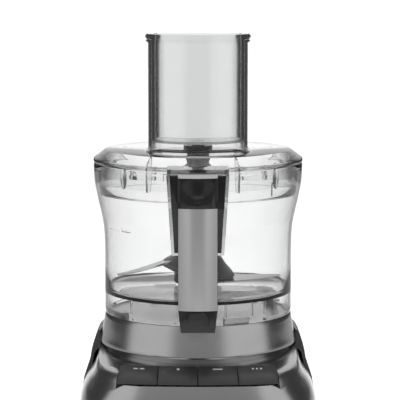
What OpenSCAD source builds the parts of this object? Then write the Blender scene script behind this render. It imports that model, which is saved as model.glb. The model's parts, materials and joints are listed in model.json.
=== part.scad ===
// Belt-driven food processor: a motor base, a lift-off bowl with a front handle, a lid with a D-shaped
// feed tube, a loose pusher and a two-blade cutter. Millimetres, Z up. The feet stand on z = 0, the bowl's
// axis is x = y = 0 and the handle faces -Y.

/* [Base] */
// half width of the base at its widest
base_half_w = 97.6; // [94:0.2:104]
// reach of the base in front of the bowl's axis
base_front = 121; // [116:0.5:122]
// reach of the base behind the bowl's axis
base_rear = 121.5; // [116:0.5:122]
// height of the joint between the housing and the lower skirt
seam_z = 67; // [60:0.5:75]
// wall of the moulded base parts
base_wall = 2.6; // [2:0.1:4]
// squareness of the base outline: 2 is an ellipse
base_power = 4; // [2.5:0.1:6]
// facets in half a turn of the moulded base parts
base_steps = 40; // [24:2:60]

/* [Collar] */
// height of the shoulder that carries the bowl
shoulder_z = 145.3; // [140:0.1:150]
// radius of the flared lip
lip_r = 81.6; // [80:0.1:83]
// radius of the hole in the middle of the plateau
collar_hole_r = 14.5; // [13:0.1:18]

/* [Bowl] */
// wall of the bowl
bowl_wall = 2.3; // [2:0.1:3.5]
// height of the bowl's rim
bowl_top = 269.5; // [260:0.5:280]
// underside of the bowl's floor
floor_under = 162; // [158:0.5:162.5]
// top of the bowl's floor
floor_top = 164; // [161:0.5:169]
// outer radius of the centre tube
tube_out_r = 13.8; // [13:0.1:15]
// bore radius of the centre tube
tube_in_r = 12; // [11:0.1:13]
// top of the centre tube
tube_top = 206; // [195:1:215]

/* [Handle] */
// front face of the handle
handle_front = 122; // [118:0.5:122]
// half width of the grip
grip_half_w = 15.2; // [12:0.1:20]

/* [Lid] */
// top of the lid's flat
lid_top = 280.5; // [276:0.5:286]
// wall of the lid and of the feed tube
lid_wall = 2.4; // [2:0.1:3.5]
// top of the feed tube
feed_top = 371.6; // [340:0.2:380]
// front radius of the feed tube
feed_r = 40.6; // [36:0.1:44]

/* [Drive] */
// radius of the steel shafts
shaft_r = 4; // [3:0.5:6]
// pitch radius of the large pulley
big_pulley_r = 42; // [36:1:48]
// pitch radius of the small pulley
small_pulley_r = 9; // [7:1:14]
// distance of the motor's axis behind the bowl's axis
motor_y = 68; // [60:1:75]

/* [Keys] */
// width of one key
key_w = 31.2; // [26:0.2:34]
// gap between two keys
key_gap = 0.6; // [0.4:0.1:1.2]

/* [Hidden] */
$fn = 96;
shaft_gap = 0.06;      // radial running clearance of a shaft
deck_z = 113.4;        // deck height in front of the collar
deck_rise = 4;         // rise of the deck from its front edge to the sides
deck_hole_r = 77.4;
neck_r = 77.2;         // neck of the collar, in the deck's hole
rear_hole_r = 81.9;
rear_floor_z = 114;
rear_top = 127.4;
belt_z = 16;           // lower face of both pulleys
belt_h = 12;
belt_t = 2.2;          // reach of the belt's back beyond the pitch circle
plate_z = 4.4;         // underside of the base plate, on the feet
plate_t = 3;
chassis_z = 34;
key_radius = 402;      // radius of the curve that the keys follow
key_cy = 290;          // centre of that curve
key_count = 4;
key_step = (key_w + key_gap) / key_radius * 180 / PI;
key_span = key_step * key_count;
key_lean = 27;         // tilt of the keys' travel from straight down
lug_from = 17;         // first lug of the bayonet, degrees
lug_width = 18;
tab_from = 46;         // first tab of the bowl, degrees
tab_width = 30;
rod_y = -109;
screw_y = -96;
plunger_y = -68;
plunger_r = 2.6;
board_z = 17.5;        // distance of the switch board below the keys
hub_clear = 0.3;
feed_y = -23;          // centre of the feed tube's round front
back_r = 60;           // radius of the feed tube's hollow back
back_y = 43.5;         // centre of that back
horn_r = 10.5;         // radius of the feed tube's rear corners
grip_round = 46;       // radius of the grip's rounded front
skirt_z = 180;         // middle of the cutter's tilted skirt
skirt_lean = 10.4;
motor_r = 31;
belt_lean = asin((big_pulley_r - small_pulley_r) / motor_y);

// outline of the bowl: [radius, height] from the bottom rim to the top rim
BOWL_OUT = [[77.6, 145.5], [78.1, 149], [78, 165], [77.8, 185], [77.9, 200], [78.1, 208.5], [78.5, 214],
    [79, 219], [80.1, 225], [81.7, 232], [83.3, 239], [84.5, 245.5], [85.4, 250.5], [86, 256], [86.4, 264],
    [86.4, bowl_top - 0.9], [85.9, bowl_top]];

// ---------- shared shapes ----------

// radius of a rounded rectangle outline at angle a
function oval_r(a, hx, hy, n) = 1 / pow(pow(abs(cos(a)) / hx, n) + pow(abs(sin(a)) / hy, n), 1 / n);

// point of one level [half width, front reach, rear reach, power, height, rise] at angle a
function level_pt(a, l) =
    let (r = oval_r(a, l[0], sin(a) < 0 ? l[1] : l[2], l[3]), y = r * sin(a))
    [r * cos(a), y, l[4] + (len(l) > 5 ? l[5] * (1 + y / 108) : 0)];

function turn_back(v) = [for (j = [len(v) - 1:-1:0]) v[j]];

// flat outline of one level, as a list of x, y points
function level_outline(l, steps) =
    [for (i = [0:steps - 1]) let (p = level_pt(360 * i / steps, l)) [p[0], p[1]]];

// a moulded wall between an outer and an inner list of levels, over an angle, closed at both ends
module sector_shell(outer, inner, a0, a1, steps) {
    k = len(outer);
    m = 2 * k;
    loop = concat(outer, turn_back(inner));
    pts = [for (i = [0:steps]) for (l = loop) level_pt(a0 + (a1 - a0) * i / steps, l)];
    sides = [for (i = [0:steps - 1]) for (j = [0:m - 1])
        let (p = i * m + j, q = i * m + (j + 1) % m) each [[p, q, q + m], [p, q + m, p + m]]];
    e = steps * m;
    starts = [for (j = [0:k - 2]) each [[m - 1 - j, m - 2 - j, j + 1], [m - 1 - j, j + 1, j]]];
    ends = [for (j = [0:k - 2]) each
        [[e + j, e + j + 1, e + m - 2 - j], [e + j, e + m - 2 - j, e + m - 1 - j]]];
    polyhedron(points = pts, faces = concat(sides, starts, ends), convexity = 8);
}

// the same wall all the way round
module ring_shell(outer, inner, steps) {
    m = len(outer) + len(inner);
    loop = concat(outer, turn_back(inner));
    pts = [for (i = [0:steps - 1]) for (l = loop) level_pt(360 * i / steps, l)];
    n = steps * m;
    faces = [for (i = [0:steps - 1]) for (j = [0:m - 1])
        let (p = i * m + j, q = i * m + (j + 1) % m)
        each [[p, q, (q + m) % n], [p, (q + m) % n, (p + m) % n]]];
    polyhedron(points = pts, faces = faces, convexity = 8);
}

// a straight tube
module tube(r_out, r_in, z0, z1) {
    translate([0, 0, z0]) difference() {
        cylinder(r = r_out, h = z1 - z0);
        translate([0, 0, -1]) cylinder(r = r_in, h = z1 - z0 + 2);
    }
}

// a slice of a ring
module ring_slice(r_in, r_out, z0, z1, from, width) {
    rotate([0, 0, from]) rotate_extrude(angle = width)
        translate([r_in, z0]) square([r_out - r_in, z1 - z0]);
}

// points of an arc of radius r round c, from angle a to angle b in n steps
function arc(c, r, a, b, n) =
    [for (i = [0:n]) let (t = a + (b - a) * i / n) [c[0] + r * cos(t), c[1] + r * sin(t)]];

// centre of the feed tube's right rear corner, which touches both the front and the back
horn_in = feed_r - horn_r;
horn_out = back_r + horn_r;
horn_y = (pow(horn_in, 2) - pow(horn_out, 2) - pow(feed_y, 2) + pow(back_y, 2)) / (2 * (back_y - feed_y));
horn_x = sqrt(pow(horn_in, 2) - pow(horn_y - feed_y, 2));
front_turn = atan2(horn_y - feed_y, horn_x);
back_turn = atan2(horn_y - back_y, horn_x);

// the section of the feed tube, grown by d: a round front, a slightly hollow back and rounded corners
module feed_section(d) {
    polygon(concat(
        arc([0, feed_y], feed_r + d, -180 - front_turn, front_turn, 64),
        arc([horn_x, horn_y], horn_r + d, front_turn + 12, 180 + back_turn - 12, 8),
        arc([0, back_y], back_r - d, back_turn, -180 - back_turn, 20),
        arc([-horn_x, horn_y], horn_r + d, -back_turn + 12, 180 - front_turn - 12, 8)));
}

module block(x0, x1, y0, y1, z0, z1) {
    translate([x0, y0, z0]) cube([x1 - x0, y1 - y0, z1 - z0]);
}

// a plate standing across x with its outline drawn as [y, z] points
module side_plate(points, half_w) {
    rotate([90, 0, 90]) translate([0, 0, -half_w]) linear_extrude(height = 2 * half_w) polygon(points);
}

// a plate standing across y with its outline drawn as [x, z] points
module front_plate(points, y0, y1) {
    translate([0, y1, 0]) rotate([90, 0, 0]) linear_extrude(height = y1 - y0) polygon(points);
}

// anything turned about the curve that the keys follow, centred on the front
module key_arc(points, from, width) {
    translate([0, key_cy, 0]) rotate([0, 0, 270 + from]) rotate_extrude(angle = width, $fn = 720)
        polygon([for (p = points) [key_cy - p[0], p[1]]]);
}

// ---------- base ----------

FRONT_OUT = [[base_half_w - 0.2, 120.6, 121, 4, seam_z], [base_half_w - 0.2, base_front, 121, 4, 74],
    [96.9, 120.8, 121, 4, 80], [95.2, 119.7, 120, 4, 87], [92, 117.7, 118, 4.05, 93.5],
    [88.4, 115.2, 115, 4.1, 99], [85.6, 112.7, 112, 4.2, 103.8], [83.8, 110.7, 110, 4.3, 107.6, 1.5],
    [82.7, 108.7, 108, 4.3, 110.2, 3], [81.4, 106, 106, 4.2, 111.7, deck_rise],
    [79.8, 98, 98, 3.6, 112.6, deck_rise], [deck_hole_r, deck_hole_r, deck_hole_r, 2, deck_z, deck_rise]];
FRONT_IN = [for (i = [0:len(FRONT_OUT) - 1]) let (l = FRONT_OUT[i], up = len(l) > 5 ? l[5] : 0)
    i == len(FRONT_OUT) - 1 ? [l[0], l[1], l[2], 2, l[4] - base_wall, up]
    : i > 6 ? [l[0] - 2.2, l[1] - 2.6, l[2] - 2.6, l[3], l[4] - 1.8 - 0.2 * (i - 6), up]
    : [l[0] - base_wall, l[1] - base_wall, l[2] - base_wall, l[3], l[4] - (i == 0 ? 0 : 0.8)]];

// the half of the outline in front of the bowl's axis, with the window for the keys
module front_housing() {
    color("silver") difference() {
        sector_shell(FRONT_OUT, FRONT_IN, 180, 360, base_steps);
        key_arc([[-93.6, 122], [-118, 122], [-118, 104.5], [-110.4, 104.5], [-110.4, 101], [-93.6, 104.5]],
            -key_span / 2 - 0.2, key_span + 0.4);
    }
}

REAR_OUT = [[base_half_w, 120.6, base_rear, 4, seam_z], [base_half_w, base_front, base_rear, 4, 74],
    [97.2, 120.9, 121.3, 4, 80], [96.1, 119.8, 120, 4, 87], [94, 117.8, 118.2, 4.05, 93.5],
    [91.8, 116, 116, 4.1, 99], [90.5, 114.5, 114.5, 4.1, 104.5], [89.6, 113, 113, 4.1, 110],
    [88.5, 111.5, 111.2, 4, 114.8], [87, 109.6, 109, 4, 119.4], [85.8, 107, 106.6, 3.9, 123],
    [84.8, 103.5, 103, 3.7, 125.4], [83.6, 99, 98.6, 3.4, 126.9], [82.5, 93, 92, 2.8, rear_top],
    [rear_hole_r, rear_hole_r, rear_hole_r, 2, rear_top - 0.2],
    [rear_hole_r, rear_hole_r, rear_hole_r, 2, rear_floor_z],
    [deck_hole_r, deck_hole_r, deck_hole_r, 2, rear_floor_z]];
CEILING = [[87, 110.5, 110.5, 4.1, 108], [85.6, 109, 109, 4, 109.6], [84.6, 107.6, 107.6, 4, 110.8],
    [83.8, 106, 106, 3.9, 111.2], [83, 103, 103, 3.7, 111.3], [82, 98, 98, 3.3, 111.4],
    [81, 92, 92, 2.9, 111.4], [80, 86, 86, 2.5, 111.4], [78.8, 81, 81, 2.2, 111.4],
    [deck_hole_r, deck_hole_r, deck_hole_r, 2, 111.4]];
REAR_IN = concat([for (i = [0:6]) let (l = REAR_OUT[i])
    [l[0] - base_wall, l[1] - base_wall, l[2] - base_wall, l[3], l[4] - (i == 0 ? 0 : 0.8)]], CEILING);

// the half behind the bowl's axis, with the raised shoulders round the collar
module rear_housing() {
    color("dimgray") sector_shell(REAR_OUT, REAR_IN, 0, 180, base_steps);
}

// the silver ring on the deck: shoulder, flared lip, neck, plateau and bayonet lugs
module collar() {
    color("silver") union() {
        difference() {
            collar_ring();
            translate([0, plunger_y, 135]) cylinder(r = plunger_r + 0.05, h = 20);
        }
        for (k = [0:3]) {
            ring_slice(68, 71.2, 144, 150, lug_from + 90 * k, lug_width);
            ring_slice(71, 73.4, 148, 150, lug_from + 90 * k, lug_width);
        }
    }
}

module collar_ring() {
    rotate_extrude() polygon([[collar_hole_r, 142], [collar_hole_r, 144.5], [74.6, 144.5],
            [75, shoulder_z], [76.9, shoulder_z], [77.5, 144.6], [78.1, 141], [78.9, 137], [79.6, 132.5],
            [80.4, 127.5], [81.1, 123.6], [lip_r, 121.6], [lip_r, 120.3], [81, 119.4], [77.6, 118.6],
            [neck_r, 117.5], [neck_r, 108], [73.4, 108],
            [73.4, 116], [74.6, 138], [73.6, 140.6], [70, 142]]);
}

SKIRT_OUT = [[93.6, 115.5, 116.5, 4, 5], [95.4, 117.8, 118.8, 4, 9], [97, 119.8, 120.8, 4, 24],
    [base_half_w, 120.6, base_rear, 4, 45], [base_half_w, 120.6, base_rear, 4, seam_z - 1.2],
    [base_half_w - 0.9, 119.6, 120.4, 4, seam_z - 0.9], [base_half_w - 0.9, 119.6, 120.4, 4, seam_z]];
SKIRT_IN = [for (l = SKIRT_OUT) [l[0] - 2.4, l[1] - 2.4, l[2] - 2.4, l[3], l[4]]];

// the dark lower band of the base, with the cord's hole at the back
module lower_skirt() {
    color("dimgray") difference() {
        ring_shell(SKIRT_OUT, SKIRT_IN, 2 * base_steps);
        translate([60, 130, 36]) rotate([90, 0, 0]) cylinder(r = 6.2, h = 30);
    }
}

// the plate under the base with air slots and screw holes
module base_plate() {
    color("dimgray") difference() {
        translate([0, 0, plate_z]) linear_extrude(height = plate_t)
            polygon(level_outline([91, 112.6, 113.6, 4, 0], 96));
        for (k = [-4:4]) block(k * 8 - 1.5, k * 8 + 1.5, 50, 86, 3, 9);
        for (x = [-46, 46]) for (y = [-46, 96]) translate([x, y, 0]) {
            cylinder(r = 2.1, h = 40);
            translate([0, 0, 3]) cylinder(r = 4, h = 2.6);
        }
        for (x = [-70, 70]) for (y = [-88, 88]) translate([x, y, 3]) cylinder(r = 3, h = 10);
    }
}

// four identical feet pressed into the plate
module rubber_feet() {
    color("black") for (x = [-70, 70]) for (y = [-88, 88]) translate([x, y, 0]) {
        cylinder(r = 9, h = 4.4);
        translate([0, 0, 4]) cylinder(r = 3, h = 4.4);
    }
}

// four identical screws from below into the chassis posts
module housing_screws() {
    color("silver") for (x = [-46, 46]) for (y = [-46, 96]) translate([x, y, 0]) {
        difference() {
            translate([0, 0, 3.6]) cylinder(r = 3.6, h = 2);
            block(-2.4, 2.4, -0.5, 0.5, 3, 4.6);
            block(-0.5, 0.5, -2.4, 2.4, 3, 4.6);
        }
        translate([0, 0, 5.6]) cylinder(r = 2, h = 26.4);
    }
}

// ---------- chassis and drive ----------

// the plate that holds the motor, its posts and the hollow spindle tower
module chassis() {
    color("darkgray") difference() {
        union() {
            block(-52, 52, -52, 102, chassis_z, chassis_z + 4);
            for (x = [-46, 46]) for (y = [-46, 96]) translate([x, y, plate_z + plate_t])
                cylinder(r = 6, h = chassis_z - plate_z - plate_t + 1);
            for (a = [0:45:135]) rotate([0, 0, a]) block(-30, 30, -1.5, 1.5, chassis_z + 3, 56);
            rotate_extrude() polygon([[6, chassis_z - 4], [15, chassis_z - 4], [15, 50], [12.5, 100],
                [11.2, 120], [11.2, 175], [6, 175]]);
        }
        translate([0, 0, -50 + 41]) cylinder(r = 11, h = 50);
        translate([0, 0, 20]) cylinder(r = 6, h = 170);
        translate([0, 0, 168]) cylinder(r = 8, h = 20);
        translate([0, motor_y, 20]) cylinder(r = 14, h = 30);
        for (x = [-46, 46]) for (y = [-46, 96]) translate([x, y, 5]) cylinder(r = 2, h = 27);
        for (x = [-24, 24]) translate([x, motor_y, 30]) cylinder(r = 2, h = 12);
    }
}

// the laminated stack, flattened on four sides
module motor_stator() {
    color("silver") translate([0, motor_y, 46]) difference() {
        intersection() {
            cylinder(r = motor_r, h = 36);
            block(-28, 28, -28, 28, -1, 40);
        }
        translate([0, 0, -1]) cylinder(r = 19, h = 40);
    }
}

// the two bearing housings of the motor
module motor_end_bells() {
    color("gray") translate([0, motor_y, 0]) {
        difference() {
            translate([0, 0, 38]) cylinder(r = 27, h = 8);
            translate([0, 0, 41]) cylinder(r = 24, h = 6);
            translate([0, 0, 30]) cylinder(r = shaft_r + shaft_gap, h = 20);
        }
        difference() {
            translate([0, 0, 82]) cylinder(r = 27, h = 15);
            translate([0, 0, 81]) cylinder(r = 24, h = 13.5);
            translate([0, 0, 80]) cylinder(r = shaft_r + shaft_gap, h = 20);
            for (s = [-1, 1]) block(s > 0 ? 20 : -30, s > 0 ? 30 : -20, -4, 4, 84, 92);
        }
    }
}

// the slotted rotor stack and the commutator above it
module motor_rotor() {
    color("peru") translate([0, motor_y, 0]) difference() {
        union() {
            translate([0, 0, 47]) cylinder(r = 18.2, h = 34);
            translate([0, 0, 81]) cylinder(r = 9, h = 11);
        }
        translate([0, 0, 40]) cylinder(r = shaft_r, h = 60);
        for (a = [0:30:330]) rotate([0, 0, a]) block(15.5, 20, -1, 1, 46, 82);
    }
}

module motor_shaft() {
    color("silver") translate([0, motor_y, belt_z]) cylinder(r = shaft_r, h = 91);
}

// two carbon brushes in their holders
module motor_brushes() {
    color("darkgoldenrod") translate([0, motor_y, 0]) for (s = [-1, 1])
        block(s > 0 ? 9.4 : -26.5, s > 0 ? 26.5 : -9.4, -3.5, 3.5, 84.5, 91.5);
}

// the fan that draws air past the motor
module cooling_fan() {
    color("white") translate([0, motor_y, 99]) difference() {
        union() {
            cylinder(r = 8, h = 8);
            cylinder(r = 29, h = 1.6);
            for (a = [0:30:330]) rotate([0, 0, a]) block(7, 28.5, -0.8, 0.8, 0.5, 7.5);
        }
        translate([0, 0, -1]) cylinder(r = shaft_r, h = 20);
    }
}

// a flanged pulley of pitch radius r
module pulley(r, bore) {
    difference() {
        union() {
            cylinder(r = r, h = belt_h);
            cylinder(r = r + 2.6, h = 1.2);
            translate([0, 0, belt_h - 1.2]) cylinder(r = r + 2.6, h = 1.2);
        }
        translate([0, 0, -1]) cylinder(r = bore, h = belt_h + 2);
    }
}

module motor_pulley() {
    color("gray") translate([0, motor_y, belt_z]) pulley(small_pulley_r, shaft_r);
}

// the large pulley, lightened between its rim and its hub
module drive_pulley() {
    color("gray") translate([0, 0, belt_z]) difference() {
        pulley(big_pulley_r, shaft_r);
        for (a = [0:60:300]) rotate([0, 0, a]) translate([24, 0, -1]) cylinder(r = 9, h = belt_h + 2);
    }
}

// the closed path round both pulleys at a distance d from them
function belt_path(d) = concat(
    [for (i = [0:60]) let (a = 180 - belt_lean + i * (180 + 2 * belt_lean) / 60)
        [(big_pulley_r + d) * cos(a), (big_pulley_r + d) * sin(a)]],
    [for (i = [0:30]) let (a = belt_lean + i * (180 - 2 * belt_lean) / 30)
        [(small_pulley_r + d) * cos(a), motor_y + (small_pulley_r + d) * sin(a)]]);

// the belt, with a little slack so that it clears both pulleys
module drive_belt() {
    color("black") translate([0, 0, belt_z + 1.6]) difference() {
        linear_extrude(height = belt_h - 3.2) polygon(belt_path(belt_t));
        translate([0, 0, -1]) linear_extrude(height = belt_h) polygon(belt_path(0.35));
    }
}

module drive_shaft() {
    color("silver") translate([0, 0, 14]) cylinder(r = shaft_r, h = 191);
}

// the six-sided driver on the shaft's upper end
module drive_coupling() {
    color("white") difference() {
        union() {
            translate([0, 0, 182]) cylinder(r = 7.6, h = 20, $fn = 6);
            translate([0, 0, 178]) cylinder(r = 9, h = 4);
        }
        translate([0, 0, 170]) cylinder(r = shaft_r, h = 40);
    }
}

module lower_bearing() {
    color("silver") tube(11, shaft_r + shaft_gap, 34.2, 41);
}

module upper_bearing() {
    color("silver") tube(8, shaft_r + shaft_gap, 168, 173);
}

module shaft_seal() {
    color("black") tube(8, shaft_r + shaft_gap, 173, 175);
}

// ---------- lock and cord ----------

// the switch under the plateau that the lock works
module lock_switch() {
    color("black") {
        block(-6, 6, -73, -62, 122, 133.5);
        block(-4.5, 4.5, -71.5, -63, 118, 122);
    }
}

// the sliding pin above the switch
module lock_plunger() {
    color("white") translate([0, plunger_y, 0]) {
        translate([0, 0, 138]) cylinder(r = plunger_r, h = 10.3);
        translate([0, 0, 138]) cylinder(r = 4, h = 1.6);
    }
}

// the bush where the cord would leave the base, its bore closed by a thin skin on the inside
module cord_gland() {
    color("black") translate([60, 0, 36]) difference() {
        union() {
            translate([0, 122, 0]) rotate([90, 0, 0]) cylinder(r = 8.5, h = 1.8);
            translate([0, 122, 0]) rotate([90, 0, 0]) cylinder(r = 6, h = 14);
        }
        translate([0, 123, 0]) rotate([90, 0, 0]) cylinder(r = 3.4, h = 12.6);
    }
}

// ---------- keys ----------

// section of the tray behind and under the keys, as [y, z]
TRAY = [[-93.8, 112], [-94.1, 114], [-94.9, 114], [-95.4, 112.6], [-104, 107.2], [-110.2, 103.4],
    [-110.2, 101.6], [-103, 105.2], [-93.8, 110.6]];
// section of the tray's ends, which close the gap beside the outer keys
TRAY_END = [[-94.1, 114], [-97.4, 114.6], [-106, 109.8], [-110.2, 105.4], [-110.2, 101.6],
    [-103, 105.2], [-93.8, 110.6]];
end_from = 0.02;       // start of a tray end beyond the outer key, in degrees
end_width = 0.12;

// the tray that frames the keys, with a hole under each for its post
module button_bezel() {
    color("black") difference() {
        union() {
            key_arc(TRAY, -key_span / 2 - end_from - end_width, key_span + 2 * (end_from + end_width));
            for (s = [-1, 1])
                key_arc(TRAY_END, s * (key_span / 2 + end_from + end_width / 2) - end_width / 2, end_width);
        }
        for (i = [0:key_count - 1]) key_turn(i) key_post(2.4, 30);
    }
}

// places something at key i, counted from the left
module key_turn(i) {
    translate([0, key_cy, 0]) rotate([0, 0, (i - (key_count - 1) / 2) * key_step])
        translate([0, -key_cy, 0]) children();
}

// the post behind a key
module key_post(r, h) {
    board_frame() cylinder(r = r, h = h);
}

// the wedge of one key and its post
module key_cap() {
    union() {
        key_arc([[-96.3, 115.6], [-96.5, 116.8], [-97.3, 117.6], [-98.8, 117.7], [-106, 113.2],
            [-108.8, 111], [-112.3, 106.8], [-112.5, 106], [-111.8, 105.5], [-104.6, 110.2],
            [-98, 114.4]], -key_step / 2 + 0.045, key_step - 0.09);
        translate([0, 0, 0.4]) key_post(2, 9.6);
    }
}

module key_one() { color("dimgray") key_turn(0) key_cap(); }
module key_two() { color("dimgray") key_turn(1) key_cap(); }
module key_three() { color("dimgray") key_turn(2) key_cap(); }
module key_four() { color("dimgray") key_turn(3) key_cap(); }

// places something in the tilted plane of the switch board, z along the keys' travel
module board_frame() {
    translate([0, -103, 112.5]) rotate([180 + key_lean, 0, 0]) children();
}

module switch_board() {
    color("darkgreen") board_frame() block(-58, 58, -7, 7, board_z, board_z + 1.6);
}

// four identical key switches on the board
module key_switches() {
    color("black") difference() {
        for (i = [0:key_count - 1]) key_turn(i) board_frame() {
            block(-3, 3, -3, 3, 13, 19);
            translate([0, 0, 11.2]) cylinder(r = 1.6, h = 2);
        }
        board_frame() block(-60, 60, -12, 12, board_z, 30);
    }
}

// ---------- bowl ----------

BOWL_IN = [for (i = [len(BOWL_OUT) - 1:-1:3]) [min(BOWL_OUT[i][0], 86) - bowl_wall, BOWL_OUT[i][1]]];
BOWL_CORNER = [[75.5, 168], [75, 165.8], [73.4, 164.4], [71.4, floor_top]];

module bowl_body() {
    rotate_extrude($fn = 180) polygon(concat(BOWL_OUT, BOWL_IN, BOWL_CORNER,
        [[tube_out_r + 2.5, floor_top], [tube_out_r, floor_top + 2.5], [tube_out_r, tube_top],
        [tube_in_r, tube_top], [tube_in_r, floor_under], [75.3, floor_under], [75.6, 145.5]]));
}

// the space inside the bowl, used to trim what is joined to its wall
module bowl_space() {
    rotate_extrude($fn = 180) polygon(concat([[0, 300], [84.1, 300]], BOWL_IN, [[75.5, 150], [0, 150]]));
}

// the clear spine that carries the handle: open in front for the arm and hollow behind it
module handle_spine() {
    difference() {
        intersection() {
            front_plate([[-24.2, bowl_top], [24.2, bowl_top], [20.8, 203], [-20.8, 203]], -112, -60);
            side_plate([[-70, bowl_top], [-112, bowl_top], [-112, 262], [-106, 246], [-95, 222],
                [-81, 203], [-70, 203]], 40);
        }
        intersection() {
            front_plate([[-21.8, bowl_top + 1], [21.8, bowl_top + 1], [18.4, 200], [-18.4, 200]],
                -114, -87.5);
            side_plate([[-87.5, 280], [-114, 280], [-114, 190], [-84, 190]], 40);
        }
        bowl_space();
    }
    difference() {
        block(-11.8, 11.8, -103.8, -87, 262.2, 269);
        translate([0, screw_y, 255]) cylinder(r = 1.75, h = 12);
    }
}

module bowl() {
    color("lightgray", 0.4) union() {
        difference() {
            bowl_body();
            block(-2.8, 2.8, -80, -70, 148, 156);
        }
        handle_spine();
        for (k = [0:3]) ring_slice(72.3, 76.2, 146, 147.6, tab_from + 90 * k, tab_width);
        for (a = [-45, -13, 17, 35, 45]) rotate([0, 0, a]) block(-0.6, 0.6, -76.4, -73.9, 151, 161.8);
        ring_slice(78, 79.3, 217.4, 218.2, 205, 11);
    }
}

// ---------- handle ----------

// the black arm and grip, hollow for the lock rod, with a round scoop for the thumb
module handle_body() {
    color("black") difference() {
        union() {
            intersection() {
                front_plate([[-21.6, 269.2], [21.6, 269.2], [18.4, 205], [-18.4, 205]], -112, -87.7);
                side_plate([[-87.7, 269.2], [-109, 269.2], [-109, 243.5], [-105, 243.5], [-96.8, 224.5],
                    [-90, 206.5], [-87.7, 206]], 40);
            }
            intersection() {
                block(-grip_half_w - 0.3, grip_half_w + 0.3, -handle_front, -104.2, 245.5, 268.6);
                grip_curve(0.4);
            }
            block(-grip_half_w, grip_half_w, -handle_front + 2.6, -106, 166, 250);
            for (s = [-1, 1]) translate([s * 12.4, -107, 166]) cylinder(r = 2.8, h = 80);
            block(-12.4, 12.4, -108, -104.2, 166, 246);
        }
        translate([0, -131.4, 265]) sphere(r = 18);
        block(-3, 3, rod_y - 3, rod_y + 3, 160, 280);
        block(-5.2, 5.2, rod_y - 4.6, rod_y + 4.6, 244, 262);
        block(-12, 12, -104, -87, 262, 272);
        translate([0, screw_y, 210]) cylinder(r = 1.8, h = 54);
        translate([0, screw_y, 210]) cylinder(r = 3.4, h = 39);
    }
}

// the rounded front of the grip, set back by d
module grip_curve(d) {
    translate([0, grip_round - handle_front + d, 140]) cylinder(r = grip_round, h = 135, $fn = 240);
}

// the silver facing on the front of the grip
module handle_panel() {
    color("silver") intersection() {
        block(-15, 15, -handle_front - 1, -handle_front + 2.6, 166, 245.3);
        grip_curve(0);
    }
}

// the black foot that joins the grip to the bowl's skirt, hollow for the end of the lock rod
module handle_foot() {
    color("black") difference() {
        intersection() {
            front_plate([[-13, 147], [13, 147], [grip_half_w, 166], [-grip_half_w, 166]], -121.4, -70);
            side_plate([[-70, 147], [-112, 147], [-118, 148.6], [-120.6, 153], [-121.4, 166],
                [-104, 166], [-101, 162.5], [-95, 160.2], [-70, 159.5]], 40);
            grip_curve(0.4);
        }
        translate([0, 0, 140]) cylinder(r = 78.1, h = 30, $fn = 180);
        block(-2.8, 2.8, rod_y - 3, -70, 148.2, 156);
        block(-3, 3, rod_y - 3, rod_y + 3, 150, 170);
    }
}

// the pale ledge at the top of the thumb recess
module thumb_rest() {
    color("gainsboro") intersection() {
        block(-grip_half_w, grip_half_w, -handle_front, -112.4, 268.6, 271);
        grip_curve(0);
    }
}

// the rod that the lid's tab pushes down, with its foot reaching into the skirt
module lock_rod() {
    color("white") union() {
        block(-2, 2, rod_y - 2, rod_y + 2, 152.4, 269.2);
        block(-2, 2, rod_y - 2, -66, 152.4, 155.4);
        block(-5, 5, rod_y - 4, rod_y + 4, 258, 260);
    }
}

// the coil that lifts the rod
module lock_spring() {
    color("silver") translate([0, rod_y, 244.6])
        linear_extrude(height = 13, twist = -360 * 4, slices = 80, $fn = 8)
            translate([3.6, 0]) circle(r = 0.5, $fn = 6);
}

module handle_screw() {
    color("silver") translate([0, screw_y, 0]) difference() {
        union() {
            translate([0, 0, 246.6]) cylinder(r = 3.1, h = 2.4);
            translate([0, 0, 248]) cylinder(r = 1.75, h = 18.5);
        }
        block(-2, 2, -0.4, 0.4, 246, 247.6);
    }
}

// ---------- lid ----------

// the clear cover: flat top, bevel, rim and the skirt that stands in the bowl
module lid_body() {
    rotate_extrude($fn = 180) polygon([[7.3, lid_top], [76, lid_top], [77.6, 280], [85.2, 274.3],
        [86.2, 273.6], [86.6, 272.8], [86.6, 270.6], [86.1, 269.8], [83.4, 269.8], [81.6, 246.4],
        [81.8, 245.4], [81.5, 244.6], [79.1, 244.6], [78.8, 245.4], [79.4, 246.4], [80.9, 266],
        [80.4, 270.6], [74.6, 278.1], [7.3, 278.1]]);
}

// the plate over the handle
module lid_tab() {
    difference() {
        union() {
            block(-24, 24, -107, -80, 270.2, 274.6);
            for (s = [-1, 1]) translate([s * 19, -107, 270.2]) cylinder(r = 5, h = 4.4);
            block(-19, 19, -112, -100, 270.2, 274.6);
        }
        translate([0, 0, 260]) cylinder(r = 84.5, h = 30);
    }
}

module lid() {
    color("lightgray", 0.4) union() {
        difference() {
            union() {
                lid_body();
                for (a = [-29.7, 23.4, 90, 150, 210, 270]) rotate([0, 0, a])
                    intersection() {
                        block(-0.8, 0.8, -81.6, -74, 252, 279.6);
                        rotate_extrude()
                            polygon([[76, 252], [80.6, 252], [82.2, 270], [80, 275], [70, 279.5], [70, 272]]);
                    }
            }
            translate([0, 0, 270]) linear_extrude(height = 20) feed_section(-lid_wall);
        }
        difference() {
            union() {
                translate([0, 0, 278.1]) linear_extrude(height = feed_top - 278.1) feed_section(0);
                translate([0, 0, 279.5]) linear_extrude(height = 2) feed_section(2.2);
                translate([0, 0, 281.5]) linear_extrude(height = 0.9) feed_section(1.2);
                translate([0, 0, 282.4]) linear_extrude(height = 1.4) feed_section(0.5);
                translate([0, 0, feed_top - 2.4]) linear_extrude(height = 2.4) feed_section(1);
                translate([0, 0, feed_top - 1.7]) linear_extrude(height = 1.2) feed_section(1.8);
            }
            translate([0, 0, 270]) linear_extrude(height = 120) feed_section(-lid_wall);
        }
        lid_tab();
    }
}

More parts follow.
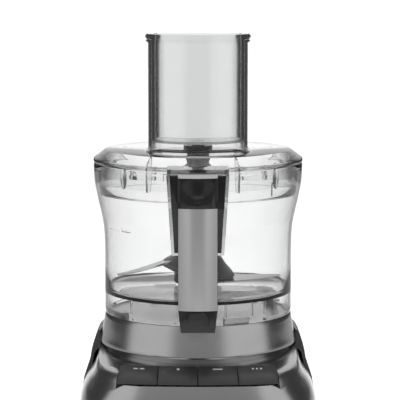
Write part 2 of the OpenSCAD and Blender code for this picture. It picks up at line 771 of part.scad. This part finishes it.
// the dark bush in the lid that steadies the cutter
module lid_bearing() {
    color("black") difference() {
        rotate_extrude() polygon([[0, 286.6], [4.6, 286.6], [5.4, 285.8], [5.4, 283.4], [11.6, 283.4],
            [12, 283], [12, 280.5], [7.3, 280.5], [7.3, 278.1], [9.4, 278.1], [9.4, 274], [11, 268.2],
            [0, 268.2]]);
        translate([0, 0, 260]) cylinder(r = 5.3, h = 18);
    }
}

// the hollow cup that stands in the feed tube
module pusher() {
    color("lightgray", 0.4) difference() {
        union() {
            translate([0, 0, 289]) linear_extrude(height = 84) feed_section(-lid_wall - 0.5);
            translate([0, 0, feed_top + 0.2]) linear_extrude(height = 4.2) feed_section(1.4);
            translate([0, 0, feed_top + 1.3]) linear_extrude(height = 2.1) feed_section(2.2);
        }
        translate([0, 0, 291]) linear_extrude(height = 100) feed_section(-lid_wall - 2.5);
    }
}

// ---------- cutter ----------

// the hub that drops over the bowl's centre tube
module blade_hub() {
    color("dimgray") difference() {
        hub_body();
        upper_steel();
        lower_steel();
    }
}

// the tall cone of the hub with its tilted skirt, which carries both blades
module hub_body() {
    difference() {
        union() {
            rotate_extrude() polygon([[0, 167.2], [19.6, 167.2], [20, 167.8], [20, 182], [18.4, 190],
                [17, 200], [15.9, 226], [12.6, 240], [9, 254], [7.4, 262], [5, 263], [5, 272], [0, 272]]);
            translate([0, 0, skirt_z]) rotate([0, skirt_lean, 0]) rotate_extrude()
                polygon([[0, -5], [24, -4.4], [30.2, -2.2], [31, -1.4], [31, 0.2], [28, 3.4], [22, 8],
                    [17.5, 13], [0, 13]]);
            for (a = [25, 145, 265]) rotate([0, 0, a]) block(14.6, 16.9, -0.9, 0.9, 196, 238);
        }
        translate([0, 0, 160]) cylinder(r = tube_out_r + hub_clear, h = 49);
        translate([0, 0, 200]) cylinder(r = 11.6, h = 14);
    }
}

// the driven tube inside the hub that grips the shaft's driver
module hub_insert() {
    color("white") difference() {
        translate([0, 0, 184]) cylinder(r = 11.6, h = 30);
        translate([0, 0, 180]) cylinder(r = 8, h = 24, $fn = 6);
        translate([0, 0, 183]) cylinder(r = shaft_r + 0.3, h = 24);
    }
}

// a point on one edge of a curved blade, s from 0 at the root to 1 at the tip, w0 and w1 off the middle
function blade_edge(s, w0, w1, bow) = [12 + 58.5 * s, bow * sin(180 * s) + w0 + (w1 - w0) * s];

module blade_outline(lead, trail) {
    polygon(concat([for (i = [0:14]) blade_edge(i / 14, lead[0], lead[1], lead[2])],
        [for (i = [14:-1:0]) blade_edge(i / 14, trail[0], trail[1], trail[2])]));
}

// a blade turned by a, its root at height z, sloping by t degrees and twisted by p
module blade(a, z, t, p, lead, trail) {
    difference() {
        rotate([0, 0, a]) translate([0, 0, z]) rotate([p, t, 0])
            linear_extrude(height = 1.6) blade_outline(lead, trail);
        translate([0, 0, 150]) cylinder(r = 15.2, h = 80);
    }
}

module upper_steel() { blade(186, 194, 17, 0, [8, 1, 8], [-10, -4, 5]); }
module lower_steel() { blade(6, 169, -1, 9, [9, 2, 3], [-13, -3, -1]); }
module upper_blade() { color("silver") upper_steel(); }
module lower_blade() { color("silver") lower_steel(); }

front_housing();
rear_housing();
collar();
lower_skirt();
base_plate();
rubber_feet();
housing_screws();
chassis();
motor_stator();
motor_end_bells();
motor_rotor();
motor_shaft();
motor_brushes();
cooling_fan();
motor_pulley();
drive_belt();
drive_pulley();
drive_shaft();
drive_coupling();
lower_bearing();
upper_bearing();
shaft_seal();
lock_switch();
lock_plunger();
cord_gland();
button_bezel();
switch_board();
key_switches();
key_one();
key_two();
key_three();
key_four();
bowl();
handle_body();
handle_panel();
handle_foot();
thumb_rest();
lock_rod();
lock_spring();
handle_screw();
lid();
lid_bearing();
pusher();
blade_hub();
hub_insert();
upper_blade();
lower_blade();
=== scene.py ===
import json
import math

import bmesh
import bpy
from mathutils import Matrix, Vector


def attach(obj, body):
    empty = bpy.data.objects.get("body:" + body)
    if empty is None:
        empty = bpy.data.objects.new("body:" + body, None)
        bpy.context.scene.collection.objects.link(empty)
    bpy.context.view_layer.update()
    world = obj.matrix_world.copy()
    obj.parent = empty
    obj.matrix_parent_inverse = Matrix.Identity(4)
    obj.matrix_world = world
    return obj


MM = 0.001
NOISE_BAND = (0.3, 0.7)       # part of a noise texture's range that is used
GRAIN_DEPTH = 0.0002
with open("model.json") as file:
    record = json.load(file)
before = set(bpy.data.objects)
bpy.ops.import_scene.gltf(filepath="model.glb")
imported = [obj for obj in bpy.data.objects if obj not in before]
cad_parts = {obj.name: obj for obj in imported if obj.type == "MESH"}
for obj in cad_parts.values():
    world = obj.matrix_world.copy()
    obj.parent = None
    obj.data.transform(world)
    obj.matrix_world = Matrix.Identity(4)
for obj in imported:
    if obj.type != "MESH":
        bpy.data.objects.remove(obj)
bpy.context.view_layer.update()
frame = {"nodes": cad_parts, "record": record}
nodes = frame["nodes"]


# ---------- material helpers ----------

def new_material(name):
    m = bpy.data.materials.new(name)
    m.use_nodes = True
    nt = m.node_tree
    bsdf = nt.nodes.get("Principled BSDF")
    return m, nt, bsdf


def noise(nt, scale, detail=3.0, stretch=(1, 1, 1), rough=0.5):
    coord = nt.nodes.new("ShaderNodeTexCoord")
    mapping = nt.nodes.new("ShaderNodeMapping")
    mapping.inputs["Scale"].default_value = stretch
    tex = nt.nodes.new("ShaderNodeTexNoise")
    tex.inputs["Scale"].default_value = scale
    tex.inputs["Detail"].default_value = detail
    tex.inputs["Roughness"].default_value = rough
    nt.links.new(coord.outputs["Object"], mapping.inputs["Vector"])
    nt.links.new(mapping.outputs["Vector"], tex.inputs["Vector"])
    return tex.outputs["Fac"]


def calc(nt, operation, a, b=None):
    """A maths node on sockets or numbers."""
    n = nt.nodes.new("ShaderNodeMath")
    n.operation = operation
    for i, v in enumerate([a, b]):
        if v is None:
            continue
        if isinstance(v, (int, float)):
            n.inputs[i].default_value = v
        else:
            nt.links.new(v, n.inputs[i])
    return n.outputs[0]


def spread(nt, fac, low, high):
    r = nt.nodes.new("ShaderNodeMapRange")
    r.inputs["From Min"].default_value = NOISE_BAND[0]
    r.inputs["From Max"].default_value = NOISE_BAND[1]
    r.inputs["To Min"].default_value = low
    r.inputs["To Max"].default_value = high
    nt.links.new(fac, r.inputs["Value"])
    return r.outputs["Result"]


def fade(nt, value, low, high):
    """0 below low, 1 above high."""
    n = nt.nodes.new("ShaderNodeMapRange")
    n.inputs["From Min"].default_value = low
    n.inputs["From Max"].default_value = high
    nt.links.new(value, n.inputs["Value"])
    return n.outputs["Result"]


def tint(nt, fac, a, b):
    mix = nt.nodes.new("ShaderNodeMix")
    mix.data_type = "RGBA"
    mix.inputs["A"].default_value = (*a, 1)
    mix.inputs["B"].default_value = (*b, 1)
    nt.links.new(fac, mix.inputs["Factor"])
    return mix.outputs["Result"]


def bump(nt, bsdf, fac, strength, distance):
    b = nt.nodes.new("ShaderNodeBump")
    b.inputs["Strength"].default_value = strength
    b.inputs["Distance"].default_value = distance
    nt.links.new(fac, b.inputs["Height"])
    nt.links.new(b.outputs["Normal"], bsdf.inputs["Normal"])


def surface(name, color, rough, metallic=0.0, vary=0.08, rough_vary=0.05, scale=60, grain=900,
            grain_strength=0.08, stretch=(1, 1, 1), coat=0.0, spec=0.5):
    m, nt, bsdf = new_material(name)
    fac = noise(nt, scale, 3.0, stretch)
    low = tuple(c * (1 - vary) for c in color)
    high = tuple(min(1.0, c * (1 + vary)) for c in color)
    nt.links.new(tint(nt, spread(nt, fac, 0, 1), low, high), bsdf.inputs["Base Color"])
    nt.links.new(spread(nt, noise(nt, scale * 2.3, 4.0, stretch), rough - rough_vary, rough + rough_vary),
                 bsdf.inputs["Roughness"])
    bsdf.inputs["Metallic"].default_value = metallic
    bsdf.inputs["Specular IOR Level"].default_value = spec
    if coat:
        bsdf.inputs["Coat Weight"].default_value = coat
        bsdf.inputs["Coat Roughness"].default_value = 0.06
    bump(nt, bsdf, noise(nt, grain, 2.0, stretch), grain_strength, GRAIN_DEPTH)
    return m


def clear(name, color, rough, density, ior=1.5):
    """Clear plastic; density is how much light it takes up per metre."""
    m, nt, bsdf = new_material(name)
    fac = noise(nt, 25, 3.0)
    high = tuple(min(1.0, c * 1.01) for c in color)
    nt.links.new(tint(nt, spread(nt, fac, 0, 1), color, high), bsdf.inputs["Base Color"])
    nt.links.new(spread(nt, noise(nt, 90, 3.0), rough * 0.5, rough * 1.5), bsdf.inputs["Roughness"])
    bsdf.inputs["Transmission Weight"].default_value = 1.0
    bsdf.inputs["IOR"].default_value = ior
    bump(nt, bsdf, noise(nt, 18, 1.0), 0.05, 0.0004)
    absorb = nt.nodes.new("ShaderNodeVolumeAbsorption")
    absorb.inputs["Color"].default_value = (0, 0, 0, 1)
    absorb.inputs["Density"].default_value = density
    nt.links.new(absorb.outputs["Volume"], nt.nodes["Material Output"].inputs["Volume"])
    return m


def facing(name, color, rough, fullness):
    """Metal paint; a bump adds to the rounding that the piece already has on both sides of x = 0."""
    m = surface(name, color, rough, metallic=1.0, vary=0.03, rough_vary=0.02, scale=30, stretch=(1, 1, 0.1))
    nt = m.node_tree
    split = nt.nodes.new("ShaderNodeSeparateXYZ")
    nt.links.new(nt.nodes.new("ShaderNodeTexCoord").outputs["Object"], split.inputs["Vector"])
    height = calc(nt, "MULTIPLY", calc(nt, "MULTIPLY", split.outputs["X"], split.outputs["X"]), -fullness)
    bump(nt, nt.nodes["Principled BSDF"], height, 1.0, 1.0)
    return m


MAT = {
    "silver_plastic": surface("silver_plastic", (0.45, 0.45, 0.455), 0.22, metallic=1.0, vary=0.02,
                              rough_vary=0.02, grain=400, grain_strength=0.01, coat=0.2),
    "charcoal_plastic": surface("charcoal_plastic", (0.045, 0.045, 0.048), 0.35, vary=0.12),
    "black_plastic": surface("black_plastic", (0.008, 0.008, 0.009), 0.25, vary=0.15, spec=0.4),
    "white_plastic": surface("white_plastic", (0.72, 0.71, 0.68), 0.45),
    "grey_plastic": surface("grey_plastic", (0.55, 0.55, 0.555), 0.4, vary=0.04),
    "key_rubber": surface("key_rubber", (0.035, 0.034, 0.036), 0.5, vary=0.12, grain_strength=0.15),
    "rubber": surface("rubber", (0.02, 0.02, 0.02), 0.75, grain_strength=0.3),
    "steel": surface("steel", (0.55, 0.55, 0.56), 0.28, metallic=1.0, stretch=(1, 1, 12)),
    "blade_steel": surface("blade_steel", (0.6, 0.6, 0.61), 0.2, metallic=1.0, vary=0.04,
                           stretch=(1, 14, 1)),
    "aluminium": surface("aluminium", (0.62, 0.62, 0.64), 0.4, metallic=1.0),
    "copper": surface("copper", (0.6, 0.3, 0.18), 0.4, metallic=1.0),
    "board": surface("board", (0.02, 0.13, 0.06), 0.4),
    "clear_plastic": clear("clear_plastic", (0.985, 0.987, 0.988), 0.02, 26),
}

MAT["print_dark"] = surface("print_dark", (0.09, 0.09, 0.09), 0.4, vary=0.1)
MAT["print_grey"] = surface("print_grey", (0.62, 0.62, 0.62), 0.5, vary=0.05)
MAT["silver_grip"] = facing("silver_grip", (0.50, 0.50, 0.505), 0.32, 14)

slots = {s["node"]: s["material_slot"] for s in frame["record"]["subparts"]}
SMOOTH_ANGLE = math.radians(32)
FLAT_ANGLE = math.radians(0.5)    # triangles that meet flatter than this are one face
BEVEL_ANGLE = math.radians(40)    # edges sharper than this are rounded
WELD_GAP = 1e-6


def smooth(o):
    """Round faces shade smoothly and edges sharper than SMOOTH_ANGLE stay crisp."""
    o.modifiers.new("weld", "WELD").merge_threshold = WELD_GAP
    split = o.modifiers.new("split", "EDGE_SPLIT")
    split.split_angle = SMOOTH_ANGLE
    split.use_edge_sharp = False
    o.data.shade_smooth()


LOOKS = {"handle_panel": "silver_grip"}     # nodes that look other than their slot
# width of the rounded edges of each opaque node that has them, in millimetres
BEVELS = {"handle_body": 0.7, "handle_foot": 0.7, "thumb_rest": 0.5, "key_one": 0.5,
          "key_two": 0.5, "key_three": 0.5, "key_four": 0.5, "button_bezel": 0.2}


def round_edges(o, width):
    """Merges the flat faces' triangles and rounds the sharp edges between them."""
    o.modifiers.new("weld", "WELD").merge_threshold = WELD_GAP
    flat = o.modifiers.new("flat", "DECIMATE")
    flat.decimate_type = "DISSOLVE"
    flat.angle_limit = FLAT_ANGLE
    bevel = o.modifiers.new("bevel", "BEVEL")
    bevel.width = width * MM
    bevel.segments = 2
    bevel.limit_method = "ANGLE"
    bevel.angle_limit = BEVEL_ANGLE
    bevel.use_clamp_overlap = True
    bevel.harden_normals = True
    o.data.shade_smooth()


for name, o in nodes.items():
    o.data.materials.clear()
    o.data.materials.append(MAT[LOOKS.get(name, slots[name])])
    if name in BEVELS:
        round_edges(o, BEVELS[name])
    else:
        smooth(o)


# ---------- generic marks on the keys ----------

KEY_CENTRE = 290 * MM         # centre of the curve that the keys follow
KEY_STEP = 31.8 / 402         # turn from one key to the next, in radians
MARK_ON = (-101.7, 116.05)    # middle of a mark on the key's upper face, y and z in millimetres
MARK_LEAN = math.atan2(4.5, 7.2)
KEY_MARK_THICK = 0.14


def mark_mesh(outlines, thick):
    """Flat outlines raised by thick, in millimetres, as one mesh."""
    bm = bmesh.new()
    for points in outlines:
        lower = [bm.verts.new((x * MM, y * MM, 0)) for x, y in points]
        upper = [bm.verts.new((x * MM, y * MM, thick * MM)) for x, y in points]
        n = len(points)
        bm.faces.new(upper)
        bm.faces.new(lower[::-1])
        for i in range(n):
            bm.faces.new((lower[i], lower[(i + 1) % n], upper[(i + 1) % n], upper[i]))
    return bm


def bar(x, y, w, h):
    return [(x - w / 2, y - h / 2), (x + w / 2, y - h / 2), (x + w / 2, y + h / 2), (x - w / 2, y + h / 2)]


def disc(x, y, r, n=20):
    return [(x + r * math.cos(2 * math.pi * i / n), y + r * math.sin(2 * math.pi * i / n)) for i in range(n)]


MARKS = {
    "key_one": [bar(-2.6, 0, 3.4, 1.1), bar(2.6, 0, 3.4, 1.1)],
    "key_two": [disc(0, 0, 1.1)],
    "key_three": [bar(0, 0, 7.6, 1.1)],
    "key_four": [disc(-3.2, 0, 0.85), disc(0, 0, 0.85), disc(3.2, 0, 0.85)],
}


def body_of(node):
    return next(b for b, names in frame["record"]["behaviour"]["bodies"].items() if node in names)


def piece(name, bm, material, body):
    """A mesh piece that rides on a body."""
    mesh = bpy.data.meshes.new(name)
    bm.to_mesh(mesh)
    bm.free()
    mesh.materials.append(MAT[material])
    o = bpy.data.objects.new(name, mesh)
    bpy.context.scene.collection.objects.link(o)
    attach(o, body)
    return o


def key_marks():
    for i, (key, outlines) in enumerate(MARKS.items()):
        bm = mark_mesh(outlines, KEY_MARK_THICK)
        turn = Matrix.Rotation((i - 1.5) * KEY_STEP, 4, "Z")
        lean = Matrix.Rotation(MARK_LEAN, 4, "X")
        place = Matrix.Translation((0, MARK_ON[0] * MM - KEY_CENTRE, MARK_ON[1] * MM))
        bm.transform(Matrix.Translation((0, KEY_CENTRE, 0)) @ turn @ place @ lean)
        piece(key + "_mark", bm, "print_grey", body_of(key))


# ---------- marks and lugs round the bowl and the lid ----------

# millimetres; places round the axis are in degrees to the right of the front
WALL_MARK_THICK = 0.12
LID_MARK_R = 81.9
BOWL_MARK_R = 78.95
LUG_SIZE = (3.4, 8.5, 1.3)        # half width, half height and half depth
LUG_R = 78.2
LUG_Z = 261
LUG_PLACES = (-48, 51, 132, 228)
HOOK_THICK = 0.5
HOOK_R = 81.3
HOOK_Z = 253
HOOK_PLACE = 45.5

def ring_mark(r_out, r_in, x, y, n=24):
    """A ring as a row of four-sided outlines."""
    def at(r, i):
        t = 2 * math.pi * i / n
        return (x + r * math.cos(t), y + r * math.sin(t))
    return [[at(r_in, i), at(r_out, i), at(r_out, i + 1), at(r_in, i + 1)] for i in range(n)]


def on_round(bm, radius, height, aside):
    """Wraps flat outlines round the axis, x along the wall and y up, aside degrees from the front."""
    start = math.radians(aside)
    for v in bm.verts:
        t = start + v.co.x / (radius * MM)
        r = radius * MM + v.co.z
        v.co = (r * math.sin(t), -r * math.cos(t), height * MM + v.co.y)


def wall_marks():
    lock = ring_mark(1.7, 1.2, 0, 1.6) + [bar(0, -1.0, 4.4, 2.6)]
    slot = [bar(0, 0, 0.4, 5.5), bar(3, 0, 0.4, 5.5), bar(1.5, 2.6, 3.4, 0.4)]
    line = [bar(0, 0, 0.5, 6)]
    level = [bar(0, 0, 11, 0.5), bar(-5, 1.6, 0.5, 3), bar(0, 1.1, 0.5, 2)]
    rows = [("lid_lock_mark", lock, LID_MARK_R, 264, -37, "lid_unit"),
            ("lid_slot_mark", slot, LID_MARK_R, 264.5, -19, "lid_unit"),
            ("lid_line_mark", line, LID_MARK_R, 264.5, 41, "lid_unit"),
            ("bowl_level_mark", level, BOWL_MARK_R, 217.8, -47, "bowl_unit")]
    for name, outlines, radius, height, aside, body in rows:
        bm = mark_mesh(outlines, WALL_MARK_THICK)
        on_round(bm, radius, height, aside)
        piece(name, bm, "print_dark", body)


def lid_lugs():
    """Four lens-shaped lugs inside the lid's skirt and the hooked rib beside one of them."""
    for i, aside in enumerate(LUG_PLACES):
        bm = bmesh.new()
        bmesh.ops.create_uvsphere(bm, u_segments=24, v_segments=14, radius=1)
        bm.transform(Matrix.Diagonal((*(n * MM for n in LUG_SIZE), 1)))
        on_round(bm, LUG_R, LUG_Z, aside)
        for f in bm.faces:
            f.smooth = True
        piece(f"lid_lug_{i + 1}", bm, "clear_plastic", "lid_unit")
    bm = mark_mesh([bar(0, 0, 1.0, 11), bar(2.2, 5.0, 3.6, 1.0)], HOOK_THICK)
    on_round(bm, HOOK_R, HOOK_Z, HOOK_PLACE)
    piece("lid_hook", bm, "print_dark", "lid_unit")


key_marks()
wall_marks()
lid_lugs()


# ---------- floor, surroundings, camera ----------

FLOOR_NEAR = -0.85        # the floor's front edge, behind the camera's view
FLOOR_FAR = 2.05
FLOOR_HALF = 2.5
LIT_HALF = 0.18           # half width of the evenly lit strip of floor under the object
LIT_SPREAD = 0.115        # growth of that strip with distance behind the object
LIT_GLOW = 0.62           # light that the floor gives off in the strip
DIM_GLOW = 0.06           # and beside it
# paper colour beside the strip: painted shade, darker than the paper under the object
PAINTED_SHADE_PAPER = (0.62, 0.62, 0.62)
LIT_FADE = 0.12           # width over which the glow falls off and the painted shade of the paper sets in beside it


def plain_stage():
    """A paper floor that glows evenly under and behind the object and glows less at its sides, where its
    paper is also painted darker as painted shade.
    """
    bpy.ops.mesh.primitive_plane_add(size=1, location=(0, (FLOOR_NEAR + FLOOR_FAR) / 2, 0))
    floor = bpy.context.object
    floor.name = "floor"
    floor.scale = (2 * FLOOR_HALF, FLOOR_FAR - FLOOR_NEAR, 1)
    m, nt, bsdf = new_material("floor_paper")
    bsdf.inputs["Roughness"].default_value = 0.9
    geometry = nt.nodes.new("ShaderNodeNewGeometry")
    split = nt.nodes.new("ShaderNodeSeparateXYZ")
    nt.links.new(geometry.outputs["Position"], split.inputs["Vector"])
    aside = calc(nt, "ABSOLUTE", split.outputs["X"])
    strip = calc(nt, "MULTIPLY", calc(nt, "MAXIMUM", split.outputs["Y"], 0.0), LIT_SPREAD)
    beyond = calc(nt, "SUBTRACT", calc(nt, "SUBTRACT", aside, strip), LIT_HALF)
    fall = nt.nodes.new("ShaderNodeMapRange")
    fall.interpolation_type = "SMOOTHSTEP"
    fall.inputs["From Max"].default_value = LIT_FADE
    fall.inputs["To Min"].default_value = LIT_GLOW
    fall.inputs["To Max"].default_value = DIM_GLOW
    nt.links.new(beyond, fall.inputs["Value"])
    paper = tint(nt, spread(nt, noise(nt, 6), 0, 1), (0.86, 0.86, 0.86), (0.88, 0.88, 0.88))
    # painted shade: the paper's colour turns darker beside the glowing strip
    painted_shade_mix = nt.nodes.new("ShaderNodeMix")
    painted_shade_mix.data_type = "RGBA"
    painted_shade_mix.inputs["B"].default_value = (*PAINTED_SHADE_PAPER, 1)
    nt.links.new(paper, painted_shade_mix.inputs["A"])
    nt.links.new(fade(nt, beyond, 0, LIT_FADE), painted_shade_mix.inputs["Factor"])
    nt.links.new(painted_shade_mix.outputs["Result"], bsdf.inputs["Base Color"])
    bsdf.inputs["Emission Color"].default_value = (1, 1, 1, 1)
    nt.links.new(fall.outputs["Result"], bsdf.inputs["Emission Strength"])
    floor.data.materials.append(m)


# light round the object: [degrees from the camera's side, brightness]
AROUND = [(0, 0.36), (25, 0.38), (36, 0.86), (84, 0.86), (95, 0.07), (167, 0.07), (173, 1.05), (180, 1.05)]
BACKDROP = 0.85           # the wide backdrop that starts just above the horizon
OVERHEAD = 0.75
BEHIND_FADE = (0.8, 0.9)      # as parts of a half turn from the camera's side
HORIZON_FADE = (0.03, 0.1)    # heights on a unit sphere, as is the next
OVERHEAD_FADE = (0.72, 0.9)


def blend(nt, factor, a, b):
    mix = nt.nodes.new("ShaderNodeMix")
    mix.data_type = "FLOAT"
    for key, v in (("Factor", factor), ("A", a), ("B", b)):
        if isinstance(v, (int, float)):
            mix.inputs[key].default_value = v
        else:
            nt.links.new(v, mix.inputs[key])
    return mix.outputs["Result"]


def surroundings():
    """Soft light all round, with dark sides that draw the outlines of clear pieces."""
    world = bpy.data.worlds.new("studio")
    bpy.context.scene.world = world
    world.use_nodes = True
    nt = world.node_tree
    bg = nt.nodes["Background"]
    coord = nt.nodes.new("ShaderNodeTexCoord")
    split = nt.nodes.new("ShaderNodeSeparateXYZ")
    nt.links.new(coord.outputs["Generated"], split.inputs["Vector"])

    x = calc(nt, "ABSOLUTE", split.outputs["X"])
    back = calc(nt, "MULTIPLY", split.outputs["Y"], -1.0)
    angle = calc(nt, "DIVIDE", calc(nt, "ARCTAN2", x, back), math.pi)
    ramp = nt.nodes.new("ShaderNodeValToRGB")
    el = ramp.color_ramp.elements
    while len(el) > 1:
        el.remove(el[-1])
    for i, (deg, v) in enumerate(AROUND):
        e = el[0] if i == 0 else el.new(deg / 180)
        e.position = deg / 180
        e.color = (v, v, v, 1)
    nt.links.new(angle, ramp.inputs["Fac"])
    up = split.outputs["Z"]
    behind = fade(nt, angle, *BEHIND_FADE)
    raised = calc(nt, "MULTIPLY", behind, fade(nt, up, *HORIZON_FADE))
    light = blend(nt, raised, ramp.outputs["Color"], BACKDROP)
    light = blend(nt, fade(nt, up, *OVERHEAD_FADE), light, OVERHEAD)
    nt.links.new(light, bg.inputs["Color"])
    bg.inputs["Strength"].default_value = 1.0


def soft_light(name, location, size, energy):
    data = bpy.data.lights.new(name, "AREA")
    data.shape = "RECTANGLE"
    data.size, data.size_y = size
    data.energy = energy
    o = bpy.data.objects.new(name, data)
    bpy.context.scene.collection.objects.link(o)
    o.location = location
    o.rotation_euler = (Vector(LIGHT_TARGET) - Vector(location)).to_track_quat("-Z", "Y").to_euler()


CAMERA_AT = (0.00165, -1.441, 0.4174)
CAMERA_DOWN = 7.13            # degrees below level
CAMERA_LENS = 156.9
SENSOR = 36
LIGHT_TARGET = (0, 0, 0.15)


def camera():
    data = bpy.data.cameras.new("camera")
    o = bpy.data.objects.new("camera", data)
    bpy.context.scene.collection.objects.link(o)
    data.sensor_width = SENSOR
    data.lens = CAMERA_LENS
    o.location = CAMERA_AT
    o.rotation_euler = (math.radians(90 - CAMERA_DOWN), 0, 0)
    bpy.context.scene.camera = o


plain_stage()
surroundings()
soft_light("top_softbox", (0, -0.2, 1.5), (1.0, 0.8), 4)
camera()
scene = bpy.context.scene
scene.view_settings.view_transform = "Standard"
scene.view_settings.look = "None"
